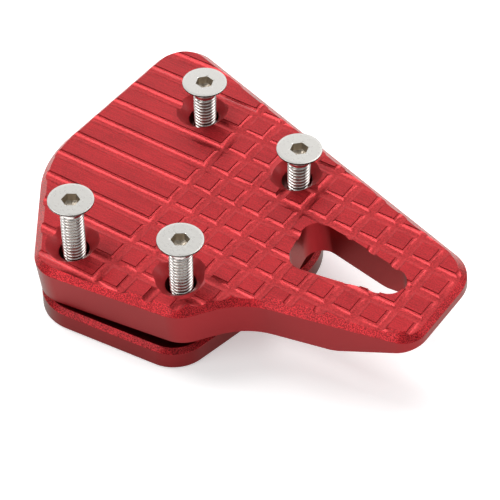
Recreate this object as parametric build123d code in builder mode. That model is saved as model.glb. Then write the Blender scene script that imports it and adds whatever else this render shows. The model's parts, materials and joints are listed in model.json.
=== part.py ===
from build123d import *
import math
import os

# Foot extension for a motorcycle side stand: a grooved tread plate that meets the ground and a
# plain clamp plate, drawn together round the stand's own foot by four countersunk screws.
# Millimetres. +X points along the tread's tail (the toe), +Z from the clamp plate to the tread.
# The origin is on the clamp plate's outer face, under the middle of the four screws.

# ---- driving dimensions -------------------------------------------------------------------
tread_thickness = 11.0
tread_bevel = 2.1               # 45 degree bevel round the tread's top edge
window_bevel = 1.0              # round the window's lower edge
edge_break = 0.3                # deburring on the crisp edges
toe_thickness = 4.2             # tread thickness where the underside ramp ends
ramp_start_x = 53.0             # where the underside starts to rise towards the toe

groove_pitch = 7.5              # tile pitch, the same both ways
groove_width = 3.0
groove_depth = 0.75
groove_floor_radius = 2.8       # the hollow floor, between two short upright sides
first_cross_groove_x = -3.5     # the heel side of this line has long ribs, the toe side tiles
cross_groove_count = 11
first_long_groove_y = -34.5
long_groove_count = 11

clamp_thickness = 6.0
clamp_bevel = 1.2

screw_radius = 2.90             # M6 thread at its smallest allowed crest
thread_root_radius = 2.35
thread_pitch = 1.0
screw_length = 30.0             # overall, head included
head_radius = 5.7
head_rim_height = 0.4
socket_across_flats = 4.0
socket_depth = 2.6
tapped_hole_radius = 2.96       # crests of the tapped thread, left smooth
clearance_hole_radius = 3.9
countersink_radius = 6.75
countersink_angle = 90.0

seat_gap = 0.05                 # between the closed plates
rest_head_height = 32.3         # head tops above the base, screws backed out
rock_angle = 6.5                # the loose tread plate leans this much on the screws
rock_axis_turn = -32.75         # direction of the rocking line in plan, degrees from +X
rock_line_height = 7.9          # rocking line above the clamp plate

# corner points in plan with the corner radius of each, anticlockwise
tread_corners = [
    ((73.3, 16.4), 10.0),       # toe, left
    ((-39.4, 48.6), 9.2),       # heel, left
    ((-42.8, -7.2), 27.0),      # heel, middle
    ((-19.9, -38.4), 9.5),      # heel, right
    ((20.4, -32.9), 9.0),       # end of the broad part
    ((30.5, -20.3), 20.0),      # hollow corner where the tail begins
    ((73.3, -11.1), 6.0),       # toe, right
]
window_corners = [
    ((62.0, 5.4), 3.9),
    ((29.3, 10.8), 4.5),
    ((32.8, -6.0), 4.5),
    ((62.0, -1.6), 3.9),
]
clamp_corners = [
    ((31.3, 24.4), 20.0),
    ((-35.0, 44.1), 10.0),
    ((-36.9, -12.1), 16.0),
    ((-18.0, -39.4), 12.0),
    ((21.3, -33.8), 9.5),
]
screw_centres = {
    "heel_left_screw": (-16.7, 27.1),
    "heel_right_screw": (-16.2, -27.0),
    "toe_left_screw": (17.6, 20.6),
    "toe_right_screw": (13.5, -22.3),
}
rock_point = (-20.5, -36.6)     # the tread's lowest corner, where it bears on the clamp plate

# ---- frames -------------------------------------------------------------------------------
rock_direction = Vector(1, 0, 0).rotate(Axis.Z, rock_axis_turn)
rock_axis = Axis((0, 0, 0), tuple(rock_direction))
pivot = Vector(rock_point[0], rock_point[1], clamp_thickness + rock_line_height)


def rocked(vector):
    """The direction or offset after the tread plate has leaned by its rest angle."""
    return vector.rotate(rock_axis, rock_angle)


flat_underside_centre = Vector(0, 0, clamp_thickness + seat_gap)
tread_along = rocked(Vector(1, 0, 0))
tread_across = rocked(Vector(0, 1, 0))
tread_normal = rocked(Vector(0, 0, 1))
underside_centre = pivot + rocked(flat_underside_centre - pivot)
sole_centre = underside_centre + tread_normal * tread_thickness

underside_plane = Plane(origin=underside_centre, x_dir=tread_along, z_dir=tread_normal)
sole_plane = Plane(origin=sole_centre, x_dir=tread_along, z_dir=tread_normal)
# local x runs across the tread, local y along its normal
across_section = Plane(origin=sole_centre, x_dir=tread_across, z_dir=tread_along)
# local x runs along the tread, local y along its normal
along_section = Plane(origin=sole_centre, x_dir=tread_along, z_dir=tread_across * -1)

reach = 160.0                   # longer than the plate, for cuts that run right through it
overcut = 1.0                   # how far the ramp's cut starts outside the metal


def depth_of(point):
    """How far a point lies below the tile tops, along the tread plate's normal."""
    return (sole_centre - point).dot(tread_normal)


def rounded_outline(corners):
    """A closed outline through the corners, each rounded by its own radius."""
    points = [point for point, radius in corners]
    radii = [radius for point, radius in corners]
    return FilletPolyline(*points, radius=radii, close=True)


# ---- tread plate --------------------------------------------------------------------------
groove_axis_height = groove_floor_radius - groove_depth
groove_side_height = 4 * groove_floor_radius    # tall enough to trim the whole floor circle
long_groove_ys = [first_long_groove_y + k * groove_pitch for k in range(long_groove_count)]
cross_groove_xs = [first_cross_groove_x + k * groove_pitch for k in range(cross_groove_count)]
toe_x = tread_corners[0][0][0]

with BuildPart() as tread_plate:
    with BuildSketch(underside_plane):
        with BuildLine():
            rounded_outline(tread_corners)
        make_face()
    extrude(amount=tread_thickness)
    sole_face = tread_plate.faces().sort_by(Axis((0, 0, 0), tuple(tread_normal)))[-1]
    chamfer(sole_face.edges(), length=tread_bevel)

    # the underside rises towards the toe
    with BuildSketch(along_section):
        with BuildLine():
            Polyline(
                (ramp_start_x, -tread_thickness),
                (toe_x, -toe_thickness),
                (toe_x + overcut, -toe_thickness),
                (toe_x + overcut, -tread_thickness - overcut),
                (ramp_start_x, -tread_thickness - overcut),
                close=True,
            )
        make_face()
    extrude(amount=reach, both=True, mode=Mode.SUBTRACT)

    # window through the tail, bevelled underneath
    with BuildSketch(sole_plane):
        with BuildLine():
            rounded_outline(window_corners)
        make_face()
    extrude(amount=-reach, mode=Mode.SUBTRACT)
    cut_edges = tread_plate.edges(Select.LAST)
    lower_edges = [edge for edge in cut_edges if depth_of(edge.center()) > tread_thickness / 2]
    chamfer(lower_edges, length=window_bevel)

    # countersunk clearance holes
    with Locations(sole_plane):
        with Locations(*screw_centres.values()):
            CounterSinkHole(
                radius=clearance_hole_radius,
                counter_sink_radius=countersink_radius,
                counter_sink_angle=countersink_angle,
            )

    # long grooves over the whole sole, cross ones from the middle to the toe
    with BuildSketch(across_section):
        with Locations(*[(y, groove_axis_height) for y in long_groove_ys]):
            Circle(groove_floor_radius)
            Rectangle(groove_width, groove_side_height, mode=Mode.INTERSECT)
    extrude(amount=reach, both=True, mode=Mode.SUBTRACT)
    with BuildSketch(along_section):
        with Locations(*[(x, groove_axis_height) for x in cross_groove_xs]):
            Circle(groove_floor_radius)
            Rectangle(groove_width, groove_side_height, mode=Mode.INTERSECT)
    extrude(amount=reach, both=True, mode=Mode.SUBTRACT)

# ---- clamp plate --------------------------------------------------------------------------
with BuildPart() as clamp_plate:
    with BuildSketch(Plane.XY):
        with BuildLine():
            rounded_outline(clamp_corners)
        make_face()
    extrude(amount=clamp_thickness)
    chamfer(clamp_plate.faces().sort_by(Axis.Z)[-1].edges(), length=clamp_bevel)
    chamfer(clamp_plate.faces().sort_by(Axis.Z)[0].edges(), length=edge_break)
    with Locations(Plane.XY.offset(clamp_thickness)):
        with Locations(*screw_centres.values()):
            Hole(radius=tapped_hole_radius)

# ---- screws -------------------------------------------------------------------------------
head_cone_height = head_radius - thread_root_radius
head_height = head_rim_height + head_cone_height
thread_start = thread_pitch     # a plain lead-in at the tip
thread_turns = int((screw_length - head_height - thread_start) / thread_pitch)
crest_half_width = thread_pitch / 8             # a wide flat crest, a quarter of the pitch


def thread_profile(height):
    """Root, crest and crest again of one thread, from its lower root at this height."""
    crest = height + thread_pitch / 2
    return [
        (thread_root_radius, height),
        (screw_radius, crest - crest_half_width),
        (screw_radius, crest + crest_half_width),
    ]


def make_screw(centre, tip_height):
    """One countersunk socket screw standing on +Z, with its thread cut as rings."""
    profile_plane = Plane(origin=(centre[0], centre[1], tip_height), x_dir=(1, 0, 0), z_dir=(0, -1, 0))
    head_plane = Plane.XY.offset(tip_height + screw_length)
    outline = [(0, 0), (thread_root_radius - edge_break, 0), (thread_root_radius, edge_break)]
    for turn in range(thread_turns):
        outline += thread_profile(thread_start + turn * thread_pitch)
    outline += [
        (thread_root_radius, thread_start + thread_turns * thread_pitch),
        (thread_root_radius, screw_length - head_height),
        (head_radius, screw_length - head_rim_height),
        (head_radius, screw_length),
        (0, screw_length),
    ]
    with BuildPart() as screw:
        with BuildSketch(profile_plane):
            with BuildLine():
                Polyline(*outline, close=True)
            make_face()
        revolve(axis=Axis((centre[0], centre[1], 0), (0, 0, 1)))
        with BuildSketch(head_plane):
            with Locations(centre):
                RegularPolygon(radius=socket_across_flats / math.sqrt(3), side_count=6)
        extrude(amount=-socket_depth, mode=Mode.SUBTRACT)
    return screw.part


screws = {}
for screw_name, screw_centre in screw_centres.items():
    screws[screw_name] = make_screw(screw_centre, rest_head_height - screw_length)

# ---- export -------------------------------------------------------------------------------
pieces = {"tread_plate": tread_plate.part, "clamp_plate": clamp_plate.part, **screws}
os.makedirs("parts", exist_ok=True)
for piece_name, piece in pieces.items():
    piece.label = piece_name
    export_step(piece, f"parts/{piece_name}.step")
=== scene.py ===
import bmesh
import bpy
import json
import math
from mathutils import Matrix, Vector

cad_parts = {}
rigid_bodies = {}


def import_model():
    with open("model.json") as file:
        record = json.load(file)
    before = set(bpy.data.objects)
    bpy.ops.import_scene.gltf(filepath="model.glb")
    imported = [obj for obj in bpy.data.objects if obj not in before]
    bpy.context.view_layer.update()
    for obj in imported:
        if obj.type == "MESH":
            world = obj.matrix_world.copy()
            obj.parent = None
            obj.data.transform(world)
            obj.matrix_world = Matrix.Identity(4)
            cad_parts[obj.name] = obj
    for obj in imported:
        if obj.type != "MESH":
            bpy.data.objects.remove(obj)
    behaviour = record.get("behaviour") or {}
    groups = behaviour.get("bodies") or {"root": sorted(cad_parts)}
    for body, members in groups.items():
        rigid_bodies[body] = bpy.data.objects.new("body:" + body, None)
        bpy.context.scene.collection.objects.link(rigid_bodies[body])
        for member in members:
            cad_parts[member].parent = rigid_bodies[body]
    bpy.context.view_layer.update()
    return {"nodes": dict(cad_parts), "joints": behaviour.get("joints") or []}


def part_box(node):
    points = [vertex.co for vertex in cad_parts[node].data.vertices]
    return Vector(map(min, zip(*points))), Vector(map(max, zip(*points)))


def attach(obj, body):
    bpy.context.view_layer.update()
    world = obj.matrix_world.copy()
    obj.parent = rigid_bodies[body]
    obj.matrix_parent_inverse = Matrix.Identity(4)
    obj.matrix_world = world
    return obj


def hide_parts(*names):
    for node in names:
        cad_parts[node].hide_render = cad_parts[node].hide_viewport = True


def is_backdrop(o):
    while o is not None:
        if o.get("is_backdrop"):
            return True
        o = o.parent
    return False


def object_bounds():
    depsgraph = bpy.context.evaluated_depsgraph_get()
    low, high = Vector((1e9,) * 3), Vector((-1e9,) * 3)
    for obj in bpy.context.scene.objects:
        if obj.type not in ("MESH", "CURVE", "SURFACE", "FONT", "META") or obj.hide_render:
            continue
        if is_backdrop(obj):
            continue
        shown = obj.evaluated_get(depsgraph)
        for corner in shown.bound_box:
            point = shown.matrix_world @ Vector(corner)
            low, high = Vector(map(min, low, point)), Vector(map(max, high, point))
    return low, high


for default in list(bpy.data.objects):
    bpy.data.objects.remove(default)
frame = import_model()

MM = 0.001
WHITE = (1, 1, 1, 1)

# ---- the tread plate's own frame -----------------------------------------------------------------
TREAD_THICKNESS = 11.0 * MM
CLAMP_THICKNESS = 6.0 * MM
SEAT_GAP = 0.05 * MM
rock = next(joint for joint in frame["joints"] if joint["name"] == "tread_rock")
flat_degrees, rest_degrees = rock["range_deg"]  # the plate lies flat at one end, leans at the other
lean = Matrix.Rotation(math.radians(rest_degrees - flat_degrees), 3, Vector(rock["axis"]))
along = lean @ Vector((1, 0, 0))
across = lean @ Vector((0, 1, 0))
normal = lean @ Vector((0, 0, 1))
pivot = Vector(rock["pos_m"])
flat_sole_centre = Vector((0, 0, CLAMP_THICKNESS + SEAT_GAP + TREAD_THICKNESS))
sole_centre = pivot + lean @ (flat_sole_centre - pivot)
tread_to_local = Matrix((along, across, normal))


def tread_local(point):
    """A point in the tread plate's own frame: x along, y across, z above the tile tops."""
    return tread_to_local @ (point - sole_centre)


def clamp_local(point):
    """A point in the clamp plate's own frame, which is the part's frame."""
    return point


# ---- the screws' places --------------------------------------------------------------------------
# how far each hex socket is turned, in degrees
SOCKET_TURNS = {"heel_left_screw": 8, "heel_right_screw": 25, "toe_left_screw": 12, "toe_right_screw": 22}
screw_boxes = {node_name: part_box(node_name) for node_name in SOCKET_TURNS}
# the tread plate's own x and y are the part's before it leans, so these are its holes' centres
hole_centres = [((low + high) / 2).xy for low, high in screw_boxes.values()]

# ---- node helpers --------------------------------------------------------------------------------
# a noise texture's values nearly all lie between these two
NOISE_LOW = 0.3
NOISE_HIGH = 0.7


def new_material(name):
    material = bpy.data.materials.new(name)
    material.use_nodes = True
    tree = material.node_tree
    tree.nodes.clear()
    output = tree.nodes.new("ShaderNodeOutputMaterial")
    shader = tree.nodes.new("ShaderNodeBsdfPrincipled")
    tree.links.new(shader.outputs["BSDF"], output.inputs["Surface"])
    return material, tree, shader


def local_coordinates(tree):
    """The piece's own coordinates in millimetres, kept on its mesh."""
    node = tree.nodes.new("ShaderNodeAttribute")
    node.attribute_name = "local_mm"
    return node.outputs["Vector"]


def stretched(tree, vector, scale):
    node = tree.nodes.new("ShaderNodeMapping")
    node.inputs["Scale"].default_value = scale
    tree.links.new(vector, node.inputs["Vector"])
    return node.outputs["Vector"]


def noise(tree, vector, scale, detail=2.0, rough=0.5):
    node = tree.nodes.new("ShaderNodeTexNoise")
    node.inputs["Scale"].default_value = scale
    node.inputs["Detail"].default_value = detail
    node.inputs["Roughness"].default_value = rough
    tree.links.new(vector, node.inputs["Vector"])
    return node.outputs["Fac"]


def remap(tree, value, low, high, to_low, to_high):
    node = tree.nodes.new("ShaderNodeMapRange")
    node.inputs["From Min"].default_value = low
    node.inputs["From Max"].default_value = high
    node.inputs["To Min"].default_value = to_low
    node.inputs["To Max"].default_value = to_high
    tree.links.new(value, node.inputs["Value"])
    return node.outputs["Result"]


def noise_between(tree, value, low, high):
    """A noise texture's value spread over a range."""
    return remap(tree, value, NOISE_LOW, NOISE_HIGH, low, high)


def math_node(tree, operation, *values):
    node = tree.nodes.new("ShaderNodeMath")
    node.operation = operation
    for socket, value in zip(node.inputs, values):
        if isinstance(value, (int, float)):
            socket.default_value = value
        else:
            tree.links.new(value, socket)
    return node.outputs["Value"]


def colour_between(tree, factor, low, high):
    node = tree.nodes.new("ShaderNodeMix")
    node.data_type = "RGBA"
    node.inputs["A"].default_value = (*low, 1)
    node.inputs["B"].default_value = (*high, 1)
    tree.links.new(factor, node.inputs["Factor"])
    return node.outputs["Result"]


def bump(tree, height, distance_mm, under=None):
    node = tree.nodes.new("ShaderNodeBump")
    node.inputs["Distance"].default_value = distance_mm * MM
    tree.links.new(height, node.inputs["Height"])
    if under is not None:
        tree.links.new(under, node.inputs["Normal"])
    return node.outputs["Normal"]


# ---- red anodised aluminium ----------------------------------------------------------------------
RED = (0.40, 0.018, 0.0235)
RED_GROOVE_PINKED = (0.40, 0.029, 0.033)          # painted highlight: the grooves' colour is paler and pinker, so that their bright bands come out pinkish
# the tint of what is reflected at a slant, which would otherwise be white
SLANT_TINT = (0.58, 0.88, 0.82, 1)
CUT_TINT = (0.90, 0.50, 0.50, 1)
# painted shade: at a slant the grooves' upright sides reflect only dark red, so they show as dark lines
GROOVE_SIDE_SHADE_TINT = (0.60, 0.10, 0.10, 1)
STREAK_STRETCH = (0.07, 3.0, 1.0)       # cutter streaks are long along the plate and narrow across it
DRIFT_SCALE = 0.09                      # the colour drifts over about a centimetre
DRIFT_SHARE = 0.3
GRAIN_ROUGHNESS = 0.05                  # how far the grain moves the roughness either way
COAT_ROUGHNESS = 0.24


def anodised(name, tint, roughness, grain_mm, speckle, spread, grain_depth_mm=0.010, streaks=0.0,
             streak_depth_mm=0.0, coat=0.20, metallic=1.0, colour=RED, slant_tint=SLANT_TINT):
    """Red anodised aluminium: blasted grain, cutter streaks along the plate, slow colour drift."""
    material, tree, shader = new_material(name)
    place = local_coordinates(tree)
    grain = noise(tree, place, 1.0 / grain_mm, detail=2.0, rough=0.7)
    streak = noise(tree, stretched(tree, place, STREAK_STRETCH), 1.0, detail=3.0, rough=0.6)
    drift = noise(tree, place, DRIFT_SCALE)
    tone = math_node(tree, "ADD", noise_between(tree, grain, -speckle, speckle),
                     noise_between(tree, streak, -streaks, streaks))
    tone = math_node(tree, "ADD", tone, noise_between(tree, drift, -DRIFT_SHARE, DRIFT_SHARE))
    tone = remap(tree, tone, -1.0, 1.0, 0.0, 1.0)
    dark = tuple(channel * tint * (1.0 - spread) for channel in colour)
    light = tuple(channel * tint * (1.0 + spread) for channel in colour)
    tree.links.new(colour_between(tree, tone, dark, light), shader.inputs["Base Color"])
    rough = noise_between(tree, grain, roughness - GRAIN_ROUGHNESS, roughness + GRAIN_ROUGHNESS)
    tree.links.new(rough, shader.inputs["Roughness"])
    fine = bump(tree, grain, grain_depth_mm)
    tree.links.new(bump(tree, streak, streak_depth_mm, under=fine), shader.inputs["Normal"])
    shader.inputs["Metallic"].default_value = metallic
    shader.inputs["Coat Weight"].default_value = coat
    shader.inputs["Coat Roughness"].default_value = COAT_ROUGHNESS
    shader.inputs["Specular Tint"].default_value = slant_tint
    return material


def plain_wall(name, tint, coat, slant_tint=SLANT_TINT):
    """The even finish of the milled walls, without cutter streaks."""
    return anodised(name, tint, roughness=0.40, grain_mm=0.30, speckle=0.4, spread=0.12, coat=coat,
                    slant_tint=slant_tint)


# One red anodising throughout. The tints below differ partly with the real finish (milled tops, cut
# grooves, blasted chamfers, plain walls) and partly as painted light and shade: each set of faces is made
# lighter or darker for how light falls on it.
red_tile = anodised("red_anodised_tile", tint=0.78, roughness=0.42, grain_mm=0.36, speckle=1.3,
                    spread=0.34, grain_depth_mm=0.050, streaks=0.7, streak_depth_mm=0.040, coat=0.28)
red_groove = anodised("red_anodised_groove", tint=0.85, roughness=0.34, grain_mm=0.40, speckle=1.1,
                      spread=0.34, grain_depth_mm=0.035, colour=RED_GROOVE_PINKED, slant_tint=CUT_TINT)
red_blasted = anodised("red_anodised_blasted", tint=1.28, roughness=0.36, grain_mm=0.28, speckle=2.4,
                       spread=0.54, grain_depth_mm=0.080, coat=0.26)
# painted shade: the clamp plate's chamfer is a darker copy of the blasted finish, for the shade under the
# tread plate's overhang
red_clamp_bevel_shaded = anodised("red_anodised_clamp_bevel_painted_shade", tint=0.84, roughness=0.36, grain_mm=0.30,
                           speckle=2.4, spread=0.62, grain_depth_mm=0.100)
# painted light: the countersinks are a lighter, softer copy, for the light bounced round inside each cone
red_cone_lit = anodised("red_anodised_countersink_painted_light", tint=1.14, roughness=0.56, grain_mm=0.42, speckle=0.7,
                    spread=0.20, grain_depth_mm=0.020, coat=0.40, metallic=0.65)
# painted shade: the upright walls are a darker copy than the tile tops
red_wall = plain_wall("red_anodised_wall", tint=0.68, coat=0.22)
# painted shade: the grooves' upright sides are a copy tinted to show as dark lines
red_groove_side_shaded = plain_wall("red_anodised_groove_side_painted_shade", tint=0.95, coat=0.0, slant_tint=GROOVE_SIDE_SHADE_TINT)
# painted light: the window's inner walls are a lighter copy of the wall finish
red_window = plain_wall("red_anodised_window_wall", tint=0.86, coat=0.08)
# painted shade: the clamp plate's walls are a much darker copy, for the shade near the floor
red_clamp_wall_shaded = plain_wall("red_anodised_clamp_wall_painted_shade", tint=0.51, coat=0.15)

# ---- stainless steel -----------------------------------------------------------------------------
RING_SCALE = 5.0                        # turning rings in a millimetre
SCUFF_SCALE = 1.1
MIXED_LOW = 0.35                        # the mean of two noises keeps closer to the middle
MIXED_HIGH = 0.65
SCUFF_SHADE = 0.94                      # brightness of the darker patches
SCUFF_SMOOTHER = 0.05                   # how far the scuffs move the roughness down
SCUFF_ROUGHER = 0.07                    # and up
ROOT_SHADE_COLOUR = (0.15, 0.105, 0.075)      # painted shade: the thread is painted dark brown down in its roots, where shade falls
ROOT_RADIUS_MM = 2.40                   # darkest from here inwards
CREST_RADIUS_MM = 2.68                  # unshaded from here outwards
ROOT_SHADE_TONE = 0.05
CREST_TONE = 0.85                       # lowest tone on the crests


def stainless(name, base, roughness, ring_depth_mm, painted_root_shade=False):
    """Bright stainless steel with fine turning rings round the screw's axis, and, when asked, painted
    shade in the thread's roots.
    """
    material, tree, shader = new_material(name)
    place = local_coordinates(tree)
    split = tree.nodes.new("ShaderNodeSeparateXYZ")
    tree.links.new(place, split.inputs["Vector"])
    squares = [math_node(tree, "POWER", split.outputs[axis], 2.0) for axis in ("X", "Y")]
    radius = math_node(tree, "SQRT", math_node(tree, "ADD", *squares))
    joined = tree.nodes.new("ShaderNodeCombineXYZ")
    tree.links.new(radius, joined.inputs["X"])
    tree.links.new(split.outputs["Z"], joined.inputs["Z"])
    rings = noise(tree, joined.outputs["Vector"], RING_SCALE, detail=3.0, rough=0.6)
    scuff = noise(tree, place, SCUFF_SCALE, detail=3.0, rough=0.6)
    halves = [math_node(tree, "MULTIPLY", pattern, 0.5) for pattern in (rings, scuff)]
    tone = remap(tree, math_node(tree, "ADD", *halves), MIXED_LOW, MIXED_HIGH, 0.0, 1.0)
    dark = tuple(channel * SCUFF_SHADE for channel in base)
    if painted_root_shade:
        # painted shade: darker towards the thread's roots, where shade falls between the turns
        height = remap(tree, radius, ROOT_RADIUS_MM, CREST_RADIUS_MM, ROOT_SHADE_TONE, 1.0)
        tone = math_node(tree, "MULTIPLY", height, remap(tree, tone, 0.0, 1.0, CREST_TONE, 1.0))
        dark = ROOT_SHADE_COLOUR
    tree.links.new(colour_between(tree, tone, dark, base), shader.inputs["Base Color"])
    rough = noise_between(tree, scuff, roughness - SCUFF_SMOOTHER, roughness + SCUFF_ROUGHER)
    tree.links.new(rough, shader.inputs["Roughness"])
    tree.links.new(bump(tree, rings, ring_depth_mm), shader.inputs["Normal"])
    shader.inputs["Metallic"].default_value = 1.0
    return material


# one stainless steel in several copies: the head's copy is painted darker (painted shade) and the
# thread's lighter (painted highlight on its crests)
SCREW_FINISHES = [
    stainless("stainless_head", (0.44, 0.43, 0.41), roughness=0.30, ring_depth_mm=0.003),
    stainless("stainless_thread", (0.86, 0.83, 0.80), roughness=0.20, ring_depth_mm=0.0005,
              painted_root_shade=True),
    stainless("stainless_socket", (0.52, 0.46, 0.38), roughness=0.45, ring_depth_mm=0.004),
    # painted reflection: the head's thin upright rim is painted near black, for the dark plate reflected
    # in it
    stainless("stainless_rim_painted_reflection", (0.10, 0.09, 0.08), roughness=0.30, ring_depth_mm=0.004),
]
HEAD, THREAD, SOCKET, RIM = range(len(SCREW_FINISHES))


def new_piece(name, mesh, local_of, materials):
    """An object for a finished mesh, with its materials and its own coordinates in millimetres."""
    local = mesh.attributes.new("local_mm", "FLOAT_VECTOR", "POINT")
    for vertex in mesh.vertices:
        local.data[vertex.index].vector = local_of(vertex.co) / MM
    for material in materials:
        mesh.materials.append(material)
    piece = bpy.data.objects.new(name, mesh)
    bpy.context.scene.collection.objects.link(piece)
    return piece


# ---- plates --------------------------------------------------------------------------------------
WELD = 0.002 * MM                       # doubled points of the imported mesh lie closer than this
FLAT_ANGLE = math.radians(0.4)          # faces that meet at less than this are one flat face
EDGE_ANGLE = math.radians(24)           # an edge that turns more than this is crisp, and is broken
SHARP_ANGLE = math.radians(40)          # an edge that still turns more than this is shaded sharp
TREAD_EDGE_BREAK = 0.03 * MM
CLAMP_EDGE_BREAK = 0.12 * MM


def refined(node_name, piece_name, local_of, edge_break, finish_of, materials):
    """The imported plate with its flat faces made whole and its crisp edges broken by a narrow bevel."""
    source = frame["nodes"][node_name]
    mesh = bpy.data.meshes.new(piece_name)
    work = bmesh.new()
    work.from_mesh(source.data)
    bmesh.ops.remove_doubles(work, verts=work.verts, dist=WELD)
    bmesh.ops.dissolve_limit(work, angle_limit=FLAT_ANGLE, verts=work.verts, edges=work.edges)
    crisp = [e for e in work.edges if len(e.link_faces) == 2 and e.calc_face_angle(0) > EDGE_ANGLE]
    bmesh.ops.bevel(work, geom=crisp, offset=edge_break, offset_type="WIDTH", segments=2,
                    profile=0.5, affect="EDGES", clamp_overlap=True)
    work.normal_update()
    for face in work.faces:
        face.smooth = True
        face.material_index = finish_of(face.calc_center_median(), face.normal)
    for edge in work.edges:
        if len(edge.link_faces) == 2 and edge.calc_face_angle(0) > SHARP_ANGLE:
            edge.smooth = False
    work.to_mesh(mesh)
    work.free()
    piece = new_piece(piece_name, mesh, local_of, materials)
    weighted = piece.modifiers.new("flat faces stay flat", "WEIGHTED_NORMAL")
    weighted.keep_sharp = True
    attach(piece, node_name)
    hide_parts(node_name)


GROOVE_DEPTH = 0.75 * MM
TILE_BAND = 0.05 * MM                   # tile tops lie within this of the sole
GROOVE_BAND = 0.02 * MM                 # groove floors lie less than this below the groove's depth
CONE_TOP = 0.10 * MM                    # a countersink's faces are lower than this
HOLE_REACH = 7.2 * MM                   # and nearer than this to a hole's centre
WINDOW_LOW = Vector((28.0, -7.5)) * MM
WINDOW_HIGH = Vector((63.5, 12.5)) * MM
# how much a face looks along the plate's normal: 1 when it is level, 0 when it is upright
LEVEL = 0.999
CLAMP_LEVEL = 0.95
GROOVE_LEVEL = 0.75
WINDOW_UPRIGHT = 0.30
UPRIGHT = 0.15
CONE_UPRIGHT = 0.10
TREAD_FINISHES = [red_tile, red_blasted, red_wall, red_groove, red_window, red_cone_lit, red_groove_side_shaded]
TILE, BEVEL, WALL, GROOVE, WINDOW, CONE, GROOVE_SIDE = range(len(TREAD_FINISHES))
CLAMP_FINISHES = [red_clamp_bevel_shaded, red_clamp_wall_shaded]
CLAMP_BEVEL, CLAMP_WALL = range(len(CLAMP_FINISHES))


def tread_finish(point, facing):
    """The finish of a face of the tread plate, from its place and its direction; the finishes are partly
    lit and shaded copies of one anodising.
    """
    local = tread_local(point)
    lift = facing.dot(normal)
    near_hole = min((local.xy - centre).length for centre in hole_centres) < HOLE_REACH
    in_window = WINDOW_LOW.x < local.x < WINDOW_HIGH.x and WINDOW_LOW.y < local.y < WINDOW_HIGH.y
    if lift > LEVEL and local.z > -TILE_BAND:
        return TILE
    if lift > CONE_UPRIGHT and near_hole and local.z < -CONE_TOP:
        return CONE
    if abs(lift) < UPRIGHT and local.z > -GROOVE_DEPTH:
        return GROOVE_SIDE
    if lift < UPRIGHT:
        return WINDOW if in_window and abs(lift) < WINDOW_UPRIGHT else WALL
    if lift > GROOVE_LEVEL and local.z > -GROOVE_DEPTH - GROOVE_BAND:
        return GROOVE
    return BEVEL


def clamp_finish(point, facing):
    """The finish of a face of the clamp plate, from its direction alone."""
    return CLAMP_BEVEL if UPRIGHT < facing.z < CLAMP_LEVEL else CLAMP_WALL


refined("tread_plate", "tread_body", tread_local, TREAD_EDGE_BREAK, tread_finish, TREAD_FINISHES)
refined("clamp_plate", "clamp_body", clamp_local, CLAMP_EDGE_BREAK, clamp_finish, CLAMP_FINISHES)

# ---- screws --------------------------------------------------------------------------------------
THREAD_PITCH = 1.0 * MM
THREAD_MAJOR = 2.90 * MM                # radius of the crests
THREAD_MINOR = 2.36 * MM                # radius of the roots
CREST_SHARE = 0.14                      # how much of half a pitch is flat crest
FLANK_SHARE = 0.62                      # and how much is flank
ROOT_ROUNDING = 0.2                     # the last part of the flank, rounded into the root
TIP_CHAMFER = 0.35 * MM
NECK_RADIUS = 2.74 * MM                 # the plain neck where the thread runs out under the head
NECK_LENGTH = 0.70 * MM
RUN_OUT = 0.4 * MM
CONE_OVERLAP = 0.5 * MM                 # the shank's rings go on this far up the cone
RING_GAP = 0.01 * MM                    # least height from those rings to the first of the cone's own
HEAD_RADIUS = 5.7 * MM
HEAD_RIM = 0.4 * MM                     # height of the rim between the cone and the top
RIM_BREAK = 0.03 * MM
SOCKET_FLAT = 2.0 * MM                  # half the distance across the socket's flats
SOCKET_DEPTH = 2.6 * MM
DRILL_RADIUS = 0.98 * SOCKET_FLAT       # where the socket's walls end in the drill's cone
DRILL_DEPTH = SOCKET_DEPTH - 0.35 * MM
RING_POINTS = 72
PITCH_RINGS = 16                        # rings in one pitch
HEAD_SHARP_ANGLE = math.radians(50)
CONE_RADII = (THREAD_MAJOR + 0.04 * MM, 4.0 * MM, 5.0 * MM, HEAD_RADIUS - RIM_BREAK)
# the head's rim, edge and top: radius, depth below the top, finish
HEAD_OUTLINE = (
    (HEAD_RADIUS, HEAD_RIM - RIM_BREAK, HEAD),
    # painted reflection: this upright band of the rim takes the near-black rim finish
    (HEAD_RADIUS, 0.05 * MM, RIM),
    (HEAD_RADIUS - 0.02 * MM, 0.015 * MM, HEAD),
    (HEAD_RADIUS - 0.06 * MM, 0.0, HEAD),
    (5.0 * MM, 0.0, HEAD),
    (4.0 * MM, 0.0, HEAD),
    (3.0 * MM, 0.0, HEAD),
)
# the socket's broken edge and walls: half the distance across flats, depth below the top, finish
SOCKET_OUTLINE = (
    (SOCKET_FLAT + 0.05 * MM, 0.0, HEAD),
    (SOCKET_FLAT + 0.01 * MM, 0.05 * MM, SOCKET),
    (SOCKET_FLAT, 0.12 * MM, SOCKET),
    (SOCKET_FLAT, SOCKET_DEPTH - 0.5 * MM, SOCKET),
)


def thread_radius(turn):
    """The radius at a fraction of one pitch: flat crest, straight flanks and a rounded root."""
    offset = abs((turn % 1.0) - 0.5) * 2            # 0 at the crest, 1 at the root
    sunk = min(max((offset - CREST_SHARE) / FLANK_SHARE, 0.0), 1.0)
    straight = 1.0 - ROOT_ROUNDING
    if sunk > straight:
        sunk = straight + ROOT_ROUNDING * math.sin((sunk - straight) / ROOT_ROUNDING * math.pi / 2)
    return THREAD_MAJOR + (THREAD_MINOR - THREAD_MAJOR) * sunk


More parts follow.
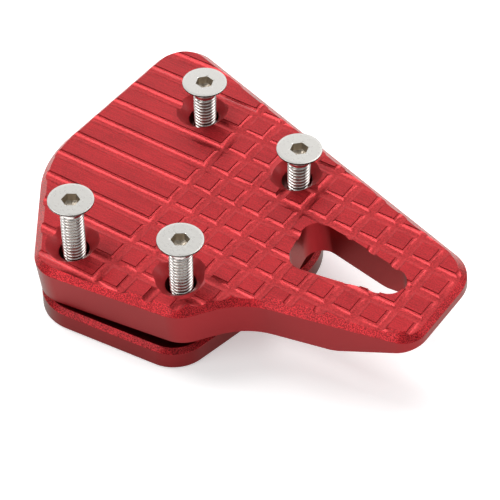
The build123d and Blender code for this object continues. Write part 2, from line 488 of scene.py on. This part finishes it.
def shank_at(height, tip, head_foot):
    """The shank's radius by angle at one height: chamfered tip, thread, plain neck, foot of the cone.

    The thread is a true helix, because its phase moves on with both the height and the angle."""
    chamfer = min(THREAD_MAJOR, THREAD_MINOR - TIP_CHAMFER + (height - tip))
    cone = THREAD_MINOR + max(0.0, height - head_foot)
    neck = min(max((height - head_foot + NECK_LENGTH) / RUN_OUT, 0.0), 1.0)

    def radius_at(angle):
        turn = (height - tip) / THREAD_PITCH - angle / (2 * math.pi)
        threaded = thread_radius(turn) * (1.0 - neck) + NECK_RADIUS * neck
        return max(min(threaded, chamfer), cone)

    return radius_at


def round_at(radius):
    """The same radius at every angle."""
    return lambda angle: radius


def hexagon_at(half_flat, turn):
    """A turned hexagon's radius by angle."""
    return lambda angle: half_flat / math.cos((angle + turn) % (math.pi / 3) - math.pi / 6)


def shank_rings(tip, head_foot):
    """Level rings from the tip to the foot of the cone: height, radius by angle, finish."""
    count = int((head_foot + CONE_OVERLAP - tip) / THREAD_PITCH * PITCH_RINGS)
    heights = [tip + step * THREAD_PITCH / PITCH_RINGS for step in range(count + 1)]
    return [(height, shank_at(height, tip, head_foot), THREAD) for height in heights]


def head_rings(shank_top, head_foot, top, socket_turn):
    """Level rings up the cone, over the head and down the socket: height, radius by angle, finish."""
    rings = []
    for radius in CONE_RADII:
        height = max(shank_top + RING_GAP, head_foot + radius - THREAD_MINOR)
        rings.append((height, round_at(radius), HEAD))
    for radius, depth, finish in HEAD_OUTLINE:
        rings.append((top - depth, round_at(radius), finish))
    for half_flat, depth, finish in SOCKET_OUTLINE:
        rings.append((top - depth, hexagon_at(half_flat, socket_turn), finish))
    rings.append((top - DRILL_DEPTH, round_at(DRILL_RADIUS), SOCKET))
    return rings


def neighbours(points):
    """Each point of a closed ring with the next one round it."""
    return zip(points, points[1:] + points[:1])


def screw_mesh(name, centre, tip, top, socket_turn):
    """A closed skin over level rings, from the screw's tip to the bottom of its socket."""
    head_foot = top - HEAD_RIM - (HEAD_RADIUS - THREAD_MINOR)
    shank = shank_rings(tip, head_foot)
    shank_top = shank[-1][0]
    work = bmesh.new()
    skin = []
    for height, radius_at, finish in shank + head_rings(shank_top, head_foot, top, socket_turn):
        points = []
        for step in range(RING_POINTS):
            angle = 2 * math.pi * step / RING_POINTS
            radius = radius_at(angle)
            x = centre.x + radius * math.cos(angle)
            y = centre.y + radius * math.sin(angle)
            points.append(work.verts.new((x, y, height)))
        skin.append((points, finish))
    for (lower, _), (upper, finish) in zip(skin, skin[1:]):
        for (a, b), (c, d) in zip(neighbours(lower), neighbours(upper)):
            work.faces.new((a, b, d, c)).material_index = finish
    tip_points, socket_points = skin[0][0], skin[-1][0]
    ends = ((socket_points, top - SOCKET_DEPTH, SOCKET), (tip_points[::-1], tip, THREAD))
    for points, height, finish in ends:
        middle = work.verts.new((centre.x, centre.y, height))
        for a, b in neighbours(points):
            work.faces.new((a, b, middle)).material_index = finish
    bmesh.ops.recalc_face_normals(work, faces=work.faces)
    for face in work.faces:
        face.smooth = True
    for edge in work.edges:
        on_head = min(vert.co.z for vert in edge.verts) > shank_top
        if on_head and len(edge.link_faces) == 2 and edge.calc_face_angle(0) > HEAD_SHARP_ANGLE:
            edge.smooth = False
    mesh = bpy.data.meshes.new(name)
    work.to_mesh(mesh)
    work.free()
    return mesh


for node_name, turn in SOCKET_TURNS.items():
    low, high = screw_boxes[node_name]
    centre = (low + high) / 2
    foot = Vector((centre.x, centre.y, low.z))
    mesh = screw_mesh(node_name + "_turned", centre, low.z, high.z, math.radians(turn))
    piece = new_piece(node_name + "_turned", mesh, lambda point: point - foot, SCREW_FINISHES)
    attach(piece, node_name)
    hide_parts(node_name)

# ---- floor ---------------------------------------------------------------------------------------
FLOOR_REACH = 4.0                       # metres from its middle to each side
FLOOR_DROP = 0.02 * MM                  # keeps it clear of the clamp plate's outer face
FLOOR_GLOW = 0.42
PAPER_LOW = (0.90, 0.90, 0.90)
PAPER_HIGH = (0.92, 0.92, 0.92)
PAPER_SCALE = 6.0
corners = [(x * FLOOR_REACH, y * FLOOR_REACH, 0) for x, y in ((-1, -1), (1, -1), (1, 1), (-1, 1))]
floor_mesh = bpy.data.meshes.new("floor")
floor_mesh.from_pydata(corners, [], [(0, 1, 2, 3)])
floor = bpy.data.objects.new("floor", floor_mesh)
floor.location.z = -FLOOR_DROP
bpy.context.scene.collection.objects.link(floor)
floor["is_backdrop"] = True
paper, paper_tree, paper_shader = new_material("floor_paper")
paper_place = paper_tree.nodes.new("ShaderNodeTexCoord").outputs["Object"]
paper_tone = noise_between(paper_tree, noise(paper_tree, paper_place, PAPER_SCALE), 0.0, 1.0)
paper_colour = colour_between(paper_tree, paper_tone, PAPER_LOW, PAPER_HIGH)
paper_tree.links.new(paper_colour, paper_shader.inputs["Base Color"])
paper_shader.inputs["Roughness"].default_value = 0.9
paper_shader.inputs["Specular IOR Level"].default_value = 0.1
paper_shader.inputs["Emission Color"].default_value = WHITE
paper_shader.inputs["Emission Strength"].default_value = FLOOR_GLOW
floor_mesh.materials.append(paper)

# ---- light ---------------------------------------------------------------------------------------
WORLD_STRENGTH = 0.28
PART = (0, 0, 0)
ABOVE_PART = (0, 0, 0.3)
world = bpy.data.worlds.new("studio")
bpy.context.scene.world = world
world.use_nodes = True
background = world.node_tree.nodes["Background"]
background.inputs["Color"].default_value = WHITE
background.inputs["Strength"].default_value = WORLD_STRENGTH


def panel(name, place, target, size, radiance):
    """A soft square light, in metres, facing a target, with its own brightness per area."""
    data = bpy.data.lights.new(name, "AREA")
    data.shape = "SQUARE"
    data.size = size
    data.energy = radiance * math.pi * size * size
    light = bpy.data.objects.new(name, data)
    light.location = place
    light.rotation_mode = "QUATERNION"
    light.rotation_quaternion = (Vector(place) - Vector(target)).to_track_quat("Z", "Y")
    bpy.context.scene.collection.objects.link(light)


panel("ceiling", (-1.02, 1.32, 1.30), (-1.02, 1.32, 0.0), size=1.80, radiance=0.93)
panel("right_back_fill", (0.54, 0.74, 0.96), PART, size=0.70, radiance=1.4)
panel("right_wall", (1.15, 0.93, 0.69), PART, size=0.80, radiance=1.0)
panel("back_fill", (0.02, 0.74, 1.05), PART, size=0.42, radiance=6.0)
panel("key_softbox", (-0.56, -0.05, 1.05), PART, size=0.48, radiance=6.8)
panel("left_low_strip", (-1.02, -0.14, 0.82), PART, size=0.40, radiance=2.0)
panel("front_fill", (-0.50, -1.22, 1.08), PART, size=0.90, radiance=2.5)
panel("camera_side_fill", (0.85, -0.52, 0.95), PART, size=0.90, radiance=0.3)
panel("back_wall", (-1.00, 1.60, 0.55), ABOVE_PART, size=2.00, radiance=1.0)
panel("left_back_wall", (-1.75, 0.85, 0.45), ABOVE_PART, size=1.40, radiance=0.45)

# ---- camera --------------------------------------------------------------------------------------
VIEW_BEARING = math.radians(126.26)     # horizontal direction of view, from +X
VIEW_DROP = math.radians(44.5)          # how steeply the camera looks down
FOCAL_RATIO = 4.258                     # focal length over frame width
SENSOR = 36.0                           # millimetres
CAMERA_DISTANCE = 540.9 * MM
AIM_ALONG = -5.0 * MM                   # the aim on the sole, from its centre
AIM_ACROSS = 19.5 * MM
AIM_RIGHT = 7.34 * MM                   # the view's middle lies this far right of the aim
AIM_DOWN = 27.24 * MM                   # and this far below it
away = Vector((math.cos(VIEW_BEARING), math.sin(VIEW_BEARING), 0))
right = Vector((away.y, -away.x, 0))
forward = away * math.cos(VIEW_DROP) - Vector((0, 0, math.sin(VIEW_DROP)))
upward = right.cross(forward)
aim = sole_centre + along * AIM_ALONG + across * AIM_ACROSS
camera_data = bpy.data.cameras.new("camera")
camera_data.sensor_width = SENSOR
camera_data.lens = FOCAL_RATIO * SENSOR
camera_data.clip_start = 0.01
camera_data.clip_end = 20
camera = bpy.data.objects.new("camera", camera_data)
camera.location = aim + right * AIM_RIGHT - upward * AIM_DOWN - forward * CAMERA_DISTANCE
camera.rotation_mode = "QUATERNION"
camera.rotation_quaternion = Matrix((right, upward, -forward)).transposed().to_quaternion()
bpy.context.scene.collection.objects.link(camera)
bpy.context.scene.camera = camera
bpy.context.scene.view_settings.view_transform = "Standard"
bpy.context.scene.view_settings.look = "None"

low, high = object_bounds()
